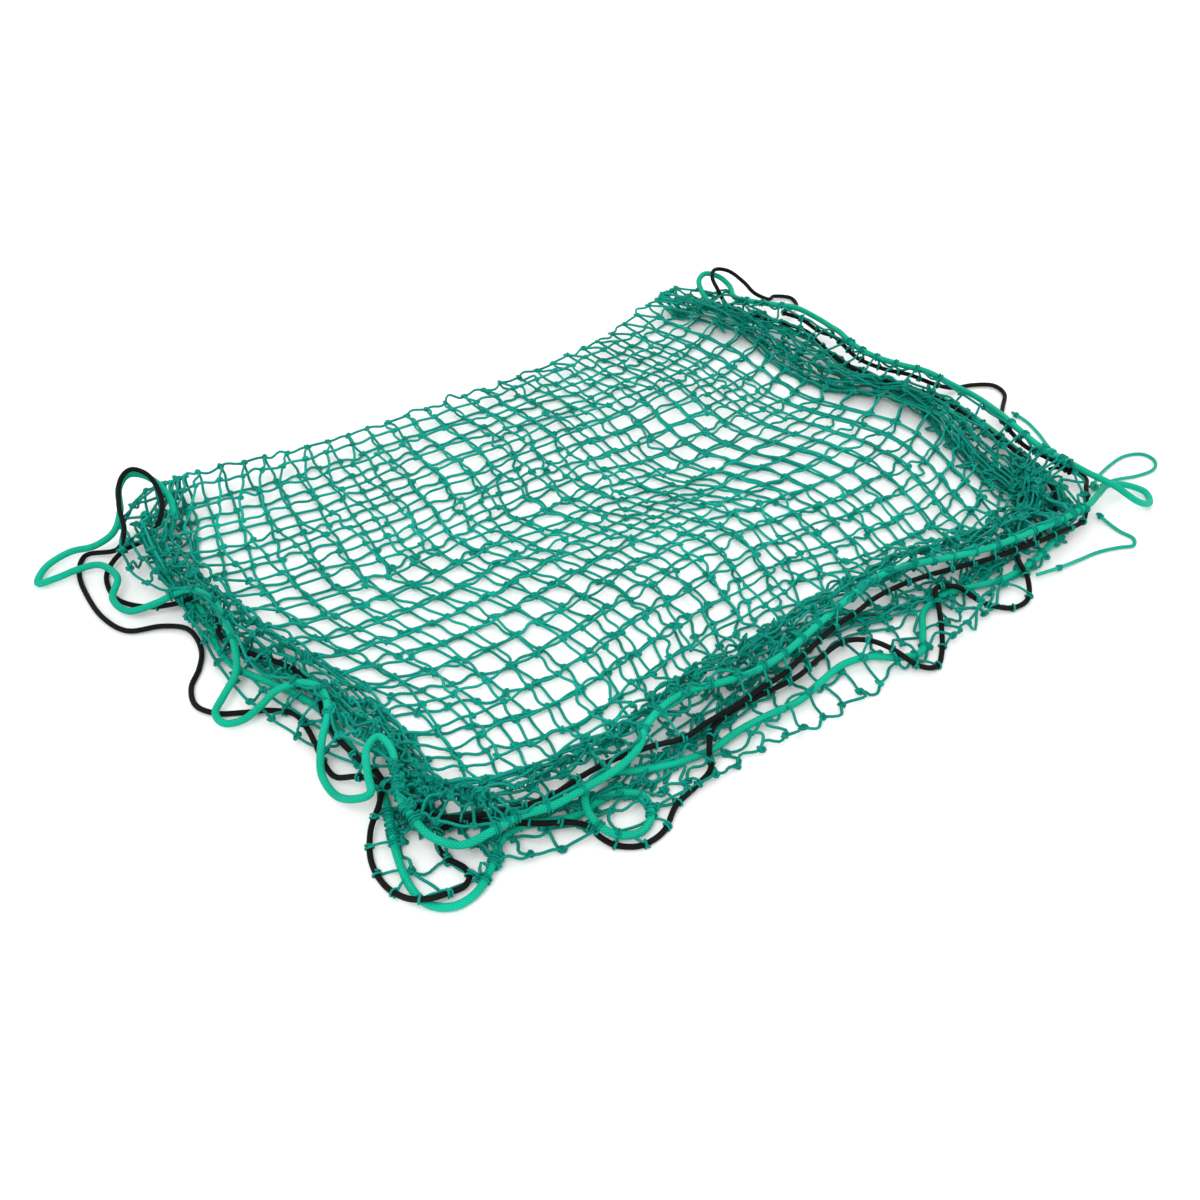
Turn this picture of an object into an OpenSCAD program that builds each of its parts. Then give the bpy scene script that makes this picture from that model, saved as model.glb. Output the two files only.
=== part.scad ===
// Load-securing cord net, folded double, with a border rope and an elastic cord laced through its edge.
// The fold runs along +Y. The upper leaf turns open about the fold like the page of a book.

/* [Net] */
// Side of one square mesh, knot to knot
mesh = 45; // [40:1:50]
// Diameter of the knotted twine
twine_d = 4; // [3:0.5:4.5]

/* [Cords] */
// Diameter of the border rope
rope_d = 9.5; // [8:0.5:11]
// Diameter of the elastic cord
elastic_d = 7; // [6:0.5:8]
// Diameter of the thin lacing cord
lacing_d = 5; // [4:0.5:6]
// Thickness of the twine hitches round the cords
hitch_d = 2.2; // [1.5:0.1:2.4]

/* [Fold] */
// Height of the fold's centre above the floor
fold_z = 14; // [13:0.5:15]
// Radius of the fold to the middle of the net
fold_r = 11; // [10:0.5:11.5]
// Distance of the hinge line from the middle of the routes
hinge_y = 374; // [372:1:376]

/* [Hidden] */

// From the corner the routes are measured in to the middle of the floor under the net
shift = [12.617, 64.516, 0];

green = [0.0, 0.52, 0.40];
bright = [0.05, 0.66, 0.50];
black = [0.05, 0.05, 0.05];

// A leaf of net lies one twine thick
leaf_t = twine_d;
// The cords' tubes have a ring every 22 mm or so, and every second mesh is hitched to them
hitch_step = round(2 * mesh / 22);

// ---- outlines, as x and y along each edge ----

fold_line = [[-620, 390], [-540, 388], [-450, 382], [-300, 370], [-150, 361], [0, 350],
             [135, 343], [300, 353], [400, 366], [470, 377], [560, 383]];
lower_front = [[-620, -395], [-560, -412], [-470, -440], [-400, -462], [-330, -478], [-250, -478],
               [-150, -486], [-50, -492], [50, -488], [140, -500], [230, -500], [320, -488],
               [420, -472], [500, -440], [580, -400]];
lower_left = [[-460, -555], [-400, -572], [-330, -570], [-260, -548], [-150, -552], [-60, -575],
              [40, -606], [130, -596], [230, -612], [300, -600], [360, -575], [420, -560]];
lower_right = [[-460, 520], [-380, 548], [-280, 572], [-160, 592], [-90, 580], [0, 545],
               [120, 552], [200, 545], [300, 500], [380, 478]];
upper_front = [[-620, -296], [-540, -306], [-480, -334], [-400, -350], [-300, -368], [-220, -388],
               [-100, -394], [0, -394], [120, -388], [220, -392], [330, -414], [430, -424],
               [500, -398], [580, -370]];
upper_left = [[-420, -500], [-300, -524], [-250, -516], [-180, -520], [-80, -528], [0, -545],
              [80, -566], [160, -560], [230, -566], [300, -552], [340, -530], [380, -526]];
upper_right = [[-440, 470], [-380, 512], [-280, 538], [-160, 556], [-80, 538], [0, 504],
               [120, 522], [200, 504], [300, 468], [380, 440]];

// ---- routes of the cords: the closed border rope, in four stretches ----

rope_lower_pts = [
    [-580, 318, 13], [-600, 285, 13], [-610, 245, 13], [-604, 200, 13], [-596, 155, 13],
    [-602, 110, 13], [-610, 65, 13], [-604, 20, 13], [-586, -20, 13], [-568, -60, 13], [-556, -100, 13],
    [-553, -145, 13], [-556, -190, 13], [-556, -235, 13], [-563, -275, 13], [-578, -312, 13],
    [-592, -350, 11], [-600, -390, 8], [-595, -420, 7], [-574, -438, 7], [-545, -438, 8],
    [-517, -423, 12], [-493, -404, 13], [-465, -399, 13], [-435, -412, 13], [-405, -426, 13],
    [-370, -426, 13], [-343, -432, 13], [-326, -452, 13], [-334, -476, 10], [-358, -487, 10],
    [-385, -474, 14], [-396, -446, 24], [-384, -418, 30], [-350, -404, 25], [-305, -420, 13],
    [-262, -438, 13], [-218, -448, 13], [-172, -446, 13], [-126, -450, 13], [-80, -456, 13],
    [-35, -450, 13], [10, -446, 13], [48, -458, 13], [76, -482, 13], [106, -492, 13], [134, -470, 13],
    [166, -444, 13], [210, -438, 13], [254, -450, 13], [298, -466, 13], [344, -470, 13],
    [390, -466, 13], [436, -456, 13], [480, -440, 13], [514, -416, 13], [536, -384, 13],
    [548, -344, 13], [560, -302, 13], [570, -260, 13], [578, -218, 13], [584, -172, 13],
    [584, -128, 13], [572, -86, 13], [554, -46, 13], [538, -4, 13], [532, 42, 13], [538, 88, 13],
    [546, 132, 13], [542, 178, 13], [526, 220, 13], [508, 258, 13], [492, 292, 13]
];
rope_bight_right_pts = [
    [478, 322, 20], [474, 350, 36], [488, 380, 46], [514, 392, 48], [534, 376, 42], [534, 346, 36]
];
rope_upper_pts = [
    [516, 312, 34], [522, 274, 40], [542, 240, 42], [566, 206, 42], [586, 172, 30], [584, 136, 30],
    [566, 98, 42], [552, 54, 44], [552, 8, 44], [566, -36, 44], [588, -78, 42], [604, -120, 32],
    [612, -164, 28], [604, -206, 30], [584, -244, 40], [566, -284, 46], [556, -328, 46],
    [554, -372, 48], [552, -416, 50], [560, -456, 47], [580, -488, 28], [612, -492, 12], [636, -470, 8],
    [622, -444, 12], [588, -434, 22], [546, -444, 31], [500, -456, 40], [452, -456, 44],
    [404, -450, 44], [356, -442, 44], [308, -432, 44], [264, -418, 44], [220, -400, 44],
    [176, -384, 44], [130, -378, 44], [84, -384, 44], [38, -390, 44], [-17, -399, 44], [-66, -406, 44],
    [-113, -405, 44], [-155, -394, 44], [-193, -381, 44], [-236, -380, 44], [-273, -392, 44],
    [-302, -412, 44], [-339, -421, 44], [-383, -421, 44], [-430, -418, 44], [-466, -407, 44],
    [-504, -404, 42], [-538, -397, 40], [-558, -368, 42], [-560, -333, 44], [-557, -304, 44],
    [-545, -275, 46], [-531, -242, 48], [-533, -215, 48], [-554, -224, 48], [-570, -255, 47],
    [-580, -277, 42], [-598, -265, 33], [-607, -236, 20], [-604, -200, 22], [-584, -170, 38],
    [-560, -142, 44], [-548, -104, 44], [-562, -76, 42], [-588, -60, 32], [-613, -62, 22],
    [-638, -64, 16], [-659, -54, 15], [-660, -32, 16], [-639, -14, 19], [-612, 6, 27], [-595, 44, 39],
    [-588, 88, 44], [-585, 132, 44], [-602, 172, 40], [-640, 188, 26], [-674, 205, 18], [-682, 242, 18],
    [-662, 272, 24], [-670, 314, 22], [-696, 332, 16], [-726, 339, 11], [-750, 347, 9], [-728, 372, 11],
    [-692, 377, 15], [-662, 362, 20]
];
rope_bight_left_pts = [
    [-632, 358, 32], [-612, 366, 56], [-600, 386, 78], [-578, 398, 86], [-554, 388, 74],
    [-542, 362, 50], [-554, 336, 24]
];

// ---- the closed elastic cord, in four stretches ----

elastic_lower_pts = [
    [-596, 326, 24], [-635, 328, 18], [-668, 309, 6], [-676, 255, 6], [-652, 205, 13], [-617, 175, 22],
    [-580, 165, 24], [-586, 120, 24], [-600, 80, 24], [-590, 40, 24], [-570, 5, 24], [-552, -35, 24],
    [-546, -80, 24], [-560, -125, 24], [-564, -170, 24], [-560, -212, 24], [-554, -250, 24],
    [-572, -280, 24], [-598, -302, 15], [-616, -332, 6], [-620, -368, 5], [-612, -402, 14],
    [-594, -420, 18], [-570, -422, 10], [-554, -425, 10], [-542, -417, 9], [-541, -403, 9],
    [-548, -385, 9], [-550, -367, 10], [-542, -354, 13], [-527, -352, 19], [-508, -364, 24],
    [-486, -385, 24], [-462, -404, 24], [-442, -420, 24], [-419, -435, 23], [-402, -449, 15],
    [-398, -465, 9], [-388, -483, 5], [-366, -499, 5], [-334, -499, 5], [-302, -482, 8],
    [-268, -476, 9], [-238, -469, 12], [-224, -450, 24], [-196, -428, 24], [-150, -424, 24],
    [-105, -428, 24], [-60, -432, 24], [-15, -426, 24], [30, -424, 24], [58, -442, 24], [68, -474, 27],
    [84, -506, 13], [108, -518, 6], [134, -504, 7], [158, -482, 12], [180, -456, 22], [204, -430, 24],
    [230, -446, 24], [244, -478, 12], [270, -506, 6], [304, -510, 6], [326, -490, 17], [334, -468, 26],
    [352, -448, 23], [372, -444, 23], [400, -446, 24], [442, -436, 24], [478, -420, 24],
    [508, -396, 24], [528, -360, 24], [540, -318, 24], [550, -276, 24], [556, -232, 24],
    [562, -188, 24], [566, -144, 24], [560, -100, 24], [546, -60, 24], [530, -18, 24], [522, 28, 24],
    [526, 76, 24], [536, 118, 24], [546, 156, 24], [536, 198, 24], [518, 236, 24], [504, 270, 24]
];
elastic_bight_right_pts = [
    [494, 306, 26], [494, 334, 46], [502, 360, 58], [524, 376, 60], [550, 366, 52], [562, 338, 38]
];
elastic_upper_pts = [
    [560, 306, 30], [586, 294, 14], [612, 304, 7], [634, 284, 5], [620, 254, 7], [584, 240, 18],
    [550, 218, 32], [560, 186, 31], [572, 150, 18], [572, 116, 24], [552, 76, 33], [540, 28, 33],
    [550, -20, 33], [570, -58, 33], [598, -90, 20], [630, -106, 8], [668, -118, 5], [694, -140, 5],
    [688, -168, 5], [656, -190, 7], [622, -212, 14], [592, -238, 25], [570, -268, 32], [556, -304, 33],
    [562, -342, 30], [582, -368, 18], [584, -398, 16], [560, -416, 20], [526, -440, 22],
    [484, -464, 24], [436, -466, 33], [390, -460, 33], [345, -450, 33], [300, -440, 33],
    [255, -426, 33], [210, -412, 33], [165, -402, 33], [120, -398, 33], [75, -402, 33], [30, -404, 33],
    [-22, -413, 33], [-73, -423, 33], [-115, -424, 33], [-162, -426, 33], [-205, -425, 33],
    [-244, -426, 33], [-284, -412, 33], [-333, -402, 35], [-379, -399, 35], [-420, -399, 33],
    [-460, -388, 33], [-496, -372, 33], [-526, -352, 31], [-543, -329, 32], [-550, -298, 33],
    [-559, -271, 35], [-575, -240, 31], [-592, -210, 14], [-592, -180, 12], [-586, -148, 12],
    [-582, -116, 12], [-584, -88, 11], [-604, -60, 6], [-632, -42, 5], [-657, -24, 5], [-672, 4, 5],
    [-664, 36, 5], [-643, 60, 5], [-628, 84, 6], [-622, 112, 8], [-626, 140, 8], [-650, 164, 7],
    [-688, 185, 5], [-704, 229, 5], [-705, 285, 5], [-697, 336, 5], [-675, 368, 6], [-640, 332, 22]
];
elastic_bight_left_pts = [
    [-620, 342, 40], [-612, 362, 68], [-596, 382, 92], [-574, 390, 98], [-556, 376, 84],
    [-556, 352, 56], [-574, 336, 34]
];

// ---- the thin lacing cord, where it shows loose ----

lacing_front_pts = [
    [352, -488, 9], [392, -496, 6], [430, -502, 4], [468, -508, 3], [500, -520, 3], [520, -530, 3],
    [534, -520, 3], [532, -500, 3], [534, -478, 4], [536, -456, 7]
];
lacing_loop_pts = [
    [594, -410, 6], [624, -400, 4], [662, -394, 3], [698, -394, 3], [724, -408, 3], [724, -430, 3],
    [702, -442, 3], [668, -436, 3], [632, -422, 4], [600, -418, 6]
];
lacing_side_pts = [
    [654, -210, 5], [654, -240, 3], [642, -272, 3], [626, -302, 3], [610, -334, 4], [600, -358, 7]
];

// ---- soft rolls of gathered mesh ----

gather_left_pts = [[-512, -232], [-502, -170], [-504, -110], [-512, -50], [-530, 10], [-548, 70],
                   [-545, 130], [-548, 190], [-553, 240], [-545, 290]];
gather_front_pts = [[-450, -310], [-390, -318], [-320, -334], [-250, -352], [-170, -362], [-80, -364],
                    [20, -362], [120, -356], [220, -362], [320, -384], [400, -396]];
gather_right_pts = [[492, -350], [512, -290], [526, -220], [532, -150], [520, -80], [496, -20],
                    [490, 50], [500, 120], [490, 190], [468, 240], [450, 290]];

// ---- functions ----

function unit(v) = v / norm(v);
function spline(a, b, c, d, t) =
    0.5 * (2 * b + (c - a) * t + (2 * a - 5 * b + 4 * c - d) * t * t + (3 * b - a - 3 * c + d) * t * t * t);
function smooth_loop(p, sub) = let (n = len(p))
    [for (i = [0 : n - 1], s = [0 : sub - 1])
        spline(p[(i + n - 1) % n], p[i], p[(i + 1) % n], p[(i + 2) % n], s / sub)];
function smooth_open(p, sub) = let (n = len(p))
    [for (i = [0 : n - 2], s = [0 : sub - 1])
        spline(p[max(i - 1, 0)], p[i], p[i + 1], p[min(i + 2, n - 1)], s / sub),
     p[n - 1]];
function tangent(p, i, closed) = let (n = len(p))
    closed ? unit(p[(i + 1) % n] - p[(i + n - 1) % n]) : unit(p[min(i + 1, n - 1)] - p[max(i - 1, 0)]);
// One ring of a tube: rx sideways, ry upwards
function ring(p, i, closed, rx, ry, sides) =
    let (t = tangent(p, i, closed), s = unit(cross(t, [0, 0, 1])), u = cross(s, t))
    [for (k = [0 : sides - 1]) p[i] + rx * cos(360 * k / sides) * s + ry * sin(360 * k / sides) * u];
function flat_z(p, z) = [for (q = p) [q[0], q[1], z]];
function part_of(p, a, b) = [for (i = [a : b]) p[i % len(p)]];
function clear_of(q, others, gap) = min([for (o = others) norm(o - q)]) > gap;

// ---- the smoothed cords and where each stretch starts ----

sub = 2;
rope_path = smooth_loop(concat(rope_lower_pts, rope_bight_right_pts, rope_upper_pts, rope_bight_left_pts), sub);
rope_a = sub * (len(rope_lower_pts) - 1);
rope_b = rope_a + sub * (len(rope_bight_right_pts) + 1);
rope_c = rope_b + sub * (len(rope_upper_pts) - 1);
rope_end = len(rope_path);
elastic_path = smooth_loop(
    concat(elastic_lower_pts, elastic_bight_right_pts, elastic_upper_pts, elastic_bight_left_pts), sub);
elastic_a = sub * (len(elastic_lower_pts) - 1);
elastic_b = elastic_a + sub * (len(elastic_bight_right_pts) + 1);
elastic_c = elastic_b + sub * (len(elastic_upper_pts) - 1);
elastic_end = len(elastic_path);

// ---- building blocks ----

module skin(rings) {
    n = len(rings[0]);
    m = len(rings);
    polyhedron(
        points = [for (r = rings) each r],
        faces = concat(
            [[for (k = [n - 1 : -1 : 0]) k]],
            [for (j = [0 : m - 2], k = [0 : n - 1])
                each [[j * n + k, (j + 1) * n + (k + 1) % n, (j + 1) * n + k],
                      [j * n + k, j * n + (k + 1) % n, (j + 1) * n + (k + 1) % n]]],
            [[for (k = [0 : n - 1]) (m - 1) * n + k]]));
}

// A stretch of a closed path as a tube
module stretch(path, a, b, d, sides) {
    skin([for (i = [a : b]) ring(path, i % len(path), true, d / 2, d / 2, sides)]);
}

module cord(points, d, sides) {
    path = smooth_open(points, 2);
    skin([for (i = [0 : len(path) - 1]) ring(path, i, false, d / 2, d / 2, sides)]);
}

// A soft roll of gathered mesh, w wide and h high, thinner at its ends
module roll(points, z, w, h) {
    path = smooth_open(flat_z(points, z + h / 2), 2);
    n = len(path) - 1;
    skin([for (i = [0 : n])
        let (taper = 0.45 + 0.55 * pow(sin(180 * (0.06 + 0.88 * i / n)), 0.5))
        ring(path, i, false, w / 2 * taper, h / 2 * taper, 12)]);
}

// One turn of twine or cord round a cord of diameter d, at point p with the cord's direction t
module turn(p, t, d, thread) {
    translate(p)
        rotate([0, acos(t[2]), atan2(t[1], t[0])])
            rotate_extrude($fn = 32)
                translate([d / 2 + thread / 2 + 0.3, 0])
                    circle(d = thread, $fn = 16);
}

// Hitches sit where a cord runs clear of the others and of the net under it
module hitches(path, a, b, d, others) {
    reach = d / 2 + hitch_d + 0.6;
    for (i = [a + 3 : hitch_step : b - 3])
        if (path[i][2] > reach + leaf_t && clear_of(path[i], others, reach + rope_d / 2 + 3))
            turn(path[i], tangent(path, i, true), d, hitch_d);
}

// A lump of bunched mesh at a corner of the fold
module lump(points, radii) {
    hull()
        for (i = [0 : len(points) - 1])
            translate(points[i])
                sphere(r = radii[i], $fn = 20);
}

function edge_y(line, x) = lookup(x, line);
function leaf_back(x) = min(edge_y(fold_line, x), hinge_y - 2);
function leaf_point(u, v, left, right, front) =
    let (x0 = -560 + u * 1040,
         y0 = edge_y(front, x0) + v * (leaf_back(x0) - edge_y(front, x0)),
         x = edge_y(left, y0) + u * (edge_y(right, y0) - edge_y(left, y0)),
         y = edge_y(front, x) + v * (leaf_back(x) - edge_y(front, x)))
    [x, y];
// Height of the underside of the upper leaf: low in the field, up over the rolls and into the fold
function upper_z(u, v, x, y) =
    let (field = max(6, 7.5 + 2.2 * sin(0.55 * x + 40) * sin(0.62 * y) + 1.6 * sin(0.8 * y + 0.5 * x)),
         rim = max(ease(1.8 * (1 - u / 0.14)), ease(1.8 * (1 - (1 - u) / 0.14)), ease(1.8 * (1 - v / 0.22))),
         edge = field + (19 - field) * rim)
    edge + (fold_z + fold_r - leaf_t / 2 - edge) * ease(1 - (1 - v) / 0.12);
function ease(t) = let (s = min(1, max(0, t))) s * s * (3 - 2 * s);

// ---- lower leaf, which lies on the floor ----

function lower_outline() = concat(
    [for (i = [0 : 22]) let (x = -545 + i * 48.5) [x, edge_y(lower_front, x)]],
    [for (i = [0 : 18]) let (y = -410 + i * 42) [edge_y(lower_right, y), y]],
    [for (i = [0 : 20]) let (x = 468 - i * 50) [x, leaf_back(x)]],
    [for (i = [0 : 18]) let (y = 372 - i * 42) [edge_y(lower_left, y), y]]);

module net_lower() {
    color(green)
        linear_extrude(leaf_t)
            polygon(lower_outline());
}

module net_lower_gather_left() {
    color(green) roll([for (p = gather_left_pts) [p[0] - 4, p[1]]], leaf_t + 0.5, 44, 11.5);
}

module net_lower_gather_front() {
    color(green) roll(gather_front_pts, leaf_t + 0.5, 46, 11.5);
}

module net_lower_gather_right() {
    color(green) roll(gather_right_pts, leaf_t + 0.5, 42, 11.5);
}

module net_corner_left() {
    color(green) lump([[-580, 352, 20], [-582, 364, 42], [-580, 372, 62]], [15, 17, 12]);
}

module net_corner_right() {
    color(green) lump([[506, 342, 19], [508, 352, 34], [506, 330, 18]], [14, 13, 13]);
}

module rope_lower() {
    color(bright) stretch(rope_path, 0, rope_a, rope_d, 8);
}

module rope_lower_hitches() {
    color(green)
        hitches(rope_path, 0, rope_a, rope_d, concat(elastic_path, part_of(rope_path, rope_a + 3, rope_end - 4)));
}

module elastic_lower() {
    color(black) stretch(elastic_path, 0, elastic_a, elastic_d, 8);
}

module elastic_lower_hitches() {
    color(green)
        hitches(elastic_path, 0, elastic_a, elastic_d,
            concat(rope_path, part_of(elastic_path, elastic_a + 3, elastic_end - 4)));
}

// ---- thin lacing cord ----

module lacing_front() {
    color(bright) cord(lacing_front_pts, lacing_d, 8);
}

module lacing_front_knots() {
    path = smooth_open(lacing_front_pts, 2);
    color(green)
        for (i = [2, len(path) - 2])
            turn(path[i], tangent(path, i, false), lacing_d, 1.5);
}

module lacing_loop() {
    color(bright) cord(lacing_loop_pts, lacing_d, 8);
}

module lacing_loop_knot() {
    color(green)
        translate([586, -414, 8])
            sphere(d = 15, $fn = 24);
}

module lacing_side() {
    color(bright) cord(lacing_side_pts, lacing_d, 8);
}

module lacing_side_knots() {
    path = smooth_open(lacing_side_pts, 2);
    color(green)
        for (i = [0, len(path) - 1])
            turn(path[i], tangent(path, i, false), lacing_d, 1.5);
}

// ---- the fold ----

module net_fold() {
    steps = 24;
    arc = 8;
    half = leaf_t / 2;
    color(green)
        skin([for (i = [0 : steps])
            let (x = -532 + i * 40, y = edge_y(fold_line, x) + 3, inner = leaf_back(x) + 1,
                 top = fold_z + fold_r, low = fold_z - fold_r)
            concat(
                [[x, inner, low - half]],
                [for (k = [0 : arc]) let (a = -90 + 180 * k / arc)
                    [x, y + (fold_r + half) * cos(a), fold_z + (fold_r + half) * sin(a)]],
                [[x, inner + 0.4, top + half], [x, inner + 0.8, top - half]],
                [for (k = [0 : arc]) let (a = 90 - 180 * k / arc)
                    [x, y + 0.2 + (fold_r - half) * cos(a), fold_z + (fold_r - half) * sin(a)]],
                [[x, inner + 0.6, low + half]])]);
}

module rope_bight_left() {
    color(bright) stretch(rope_path, rope_c, rope_end, rope_d, 8);
}

module rope_bight_right() {
    color(bright) stretch(rope_path, rope_a, rope_b, rope_d, 8);
}

module elastic_bight_left() {
    color(black) stretch(elastic_path, elastic_c, elastic_end, elastic_d, 8);
}

module elastic_bight_right() {
    color(black) stretch(elastic_path, elastic_a, elastic_b, elastic_d, 8);
}

// ---- upper leaf, which turns about the fold ----

module net_upper() {
    nu = 30;
    nv = 20;
    top = [for (j = [0 : nv], i = [0 : nu])
        let (p = leaf_point(i / nu, j / nv, upper_left, upper_right, upper_front))
        [p[0], p[1], upper_z(i / nu, j / nv, p[0], p[1]) + leaf_t]];
    bottom = [for (q = top) q - [0, 0, leaf_t]];
    count = (nu + 1) * (nv + 1);
    rim = concat([for (i = [0 : nu - 1]) i], [for (j = [0 : nv - 1]) j * (nu + 1) + nu],
        [for (i = [nu : -1 : 1]) nv * (nu + 1) + i], [for (j = [nv : -1 : 1]) j * (nu + 1)]);
    n = len(rim);
    color(green)
        polyhedron(
            points = concat(top, bottom),
            faces = concat(
                [for (j = [0 : nv - 1], i = [0 : nu - 1])
                    let (a = j * (nu + 1) + i, b = a + 1, c = a + nu + 2, d = a + nu + 1)
                    each [[a, d, c], [a, c, b]]],
                [for (j = [0 : nv - 1], i = [0 : nu - 1])
                    let (a = count + j * (nu + 1) + i, b = a + 1, c = a + nu + 2, d = a + nu + 1)
                    each [[a, c, d], [a, b, c]]],
                [for (k = [0 : n - 1])
                    let (a = rim[k], b = rim[(k + 1) % n])
                    each [[a, b, b + count], [a, b + count, a + count]]]));
}

module net_upper_gather_left() {
    color(green) roll([for (p = gather_left_pts) [p[0] + 3, p[1]]], 23.5, 40, 11);
}

module net_upper_gather_front() {
    color(green) roll([for (p = gather_front_pts) [p[0], p[1] + 4]], 23.5, 44, 11);
}

module net_upper_gather_right() {
    color(green) roll([for (p = gather_right_pts) [p[0] - 2, p[1]]], 23.5, 38, 11);
}

module rope_upper() {
    color(bright) stretch(rope_path, rope_b, rope_c, rope_d, 8);
}

module rope_upper_hitches() {
    color(green)
        hitches(rope_path, rope_b, rope_c, rope_d, concat(elastic_path, part_of(rope_path, 4, rope_b - 3)));
}

// Turns of thread that bind the two ends of the border rope together
module rope_whipping() {
    mid = rope_b + 2 * 34;
    color(green)
        for (i = [mid : mid + 1])
            turn(rope_path[i], tangent(rope_path, i, true), rope_d, 2);
}

module elastic_upper() {
    color(black) stretch(elastic_path, elastic_b, elastic_c, elastic_d, 8);
}

module elastic_upper_hitches() {
    color(green)
        hitches(elastic_path, elastic_b, elastic_c, elastic_d,
            concat(rope_path, part_of(elastic_path, 4, elastic_b - 3)));
}

// The elastic's ends are tied with two turns round it
module elastic_knot() {
    i = elastic_b + 2 * 25;
    p = elastic_path[i];
    t = tangent(elastic_path, i, true);
    color(black)
        for (k = [-0.5, 0.5])
            turn(p + k * 7.6 * t, t, elastic_d + 1.6, 7);
}

// ---- assembly ----

translate(shift) {
    net_lower();
    net_lower_gather_left();
    net_lower_gather_front();
    net_lower_gather_right();
    net_corner_left();
    net_corner_right();
    rope_lower();
    rope_lower_hitches();
    elastic_lower();
    elastic_lower_hitches();
    lacing_front();
    lacing_front_knots();
    lacing_loop();
    lacing_loop_knot();
    net_fold();
    rope_bight_left();
    rope_bight_right();
    elastic_bight_left();
    elastic_bight_right();
    net_upper();
    net_upper_gather_left();
    net_upper_gather_front();
    net_upper_gather_right();
    rope_upper();
    rope_upper_hitches();
    rope_whipping();
    elastic_upper();
    elastic_upper_hitches();
    elastic_knot();
    lacing_side();
    lacing_side_knots();
}
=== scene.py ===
# A load net that lies folded double: knotted twine, a border rope, and an elastic cord laced along its edge.
# The imported model is the fixed frame. Each piece rides on one of its two leaves, or lies across the fold
# between them.
import math

import bpy
import numpy as np
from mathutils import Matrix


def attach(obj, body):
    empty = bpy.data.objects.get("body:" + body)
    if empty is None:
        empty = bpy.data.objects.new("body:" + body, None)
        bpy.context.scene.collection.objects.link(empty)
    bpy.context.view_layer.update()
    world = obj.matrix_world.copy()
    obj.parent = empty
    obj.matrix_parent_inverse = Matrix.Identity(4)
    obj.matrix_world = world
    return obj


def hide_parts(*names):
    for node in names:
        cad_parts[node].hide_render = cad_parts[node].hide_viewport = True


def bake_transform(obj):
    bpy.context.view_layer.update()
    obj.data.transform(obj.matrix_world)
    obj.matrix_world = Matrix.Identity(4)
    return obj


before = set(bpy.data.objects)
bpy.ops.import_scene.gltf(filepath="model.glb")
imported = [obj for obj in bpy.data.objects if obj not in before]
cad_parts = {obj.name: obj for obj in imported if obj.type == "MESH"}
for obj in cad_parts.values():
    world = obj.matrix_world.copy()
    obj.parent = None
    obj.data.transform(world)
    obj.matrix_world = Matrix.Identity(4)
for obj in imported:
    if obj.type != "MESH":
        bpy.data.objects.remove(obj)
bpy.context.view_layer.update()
bpy.ops.object.select_all(action="DESELECT")

# ---- Floor, light and camera ----
# A pale seamless floor under even studio light, seen from above the front left corner, about 1.8 m away.

bpy.ops.mesh.primitive_plane_add(size=16, location=(0, 0, 0))
floor = bpy.context.object
floor.name = "studio_floor"
pale = bpy.data.materials.new("pale_floor")
pale.use_nodes = True
pale.node_tree.nodes["Principled BSDF"].inputs["Base Color"].default_value = (0.93, 0.93, 0.93, 1)
pale.node_tree.nodes["Principled BSDF"].inputs["Roughness"].default_value = 0.9
floor.data.materials.append(pale)

bpy.context.scene.view_settings.view_transform = "Standard"
sky = bpy.data.worlds.new("studio")
sky.use_nodes = True
sky.node_tree.nodes["Background"].inputs["Color"].default_value = (1, 1, 1, 1)
sky.node_tree.nodes["Background"].inputs["Strength"].default_value = 1.0
bpy.context.scene.world = sky


def softbox(name, place, target, size, watts):
    """A square area light that faces a point."""
    lamp = bpy.data.lights.new(name, "AREA")
    lamp.size = size
    lamp.energy = watts
    holder = bpy.data.objects.new(name, lamp)
    bpy.context.collection.objects.link(holder)
    holder.location = place
    aim = np.subtract(target, place)
    tilt = math.atan2(math.hypot(aim[0], aim[1]), -aim[2])
    holder.rotation_euler = (tilt, 0, math.atan2(aim[1], aim[0]) - math.pi / 2)


softbox("key_light", (-1.6, -1.2, 2.6), (0, 0, 0), 1.6, 44)
softbox("fill_light", (1.8, 1.4, 2.4), (0, 0, 0), 2.2, 26)

camera = bpy.data.objects.new("camera", bpy.data.cameras.new("camera"))
bpy.context.collection.objects.link(camera)
camera.location = (-0.8792, -1.0334, 1.1185)
camera.rotation_euler = (math.radians(47.09), 0, math.radians(-37.88))
camera.data.sensor_width = 36
camera.data.lens = 36
bpy.context.scene.camera = camera

# ---- Border rope ----
# A 9.5 mm braided polypropylene rope, one closed loop round the whole net, laid in loose bends and bights.
# Each leaf carries its own half, and the two bights at the ends of the fold run from one leaf to the other.

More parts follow.
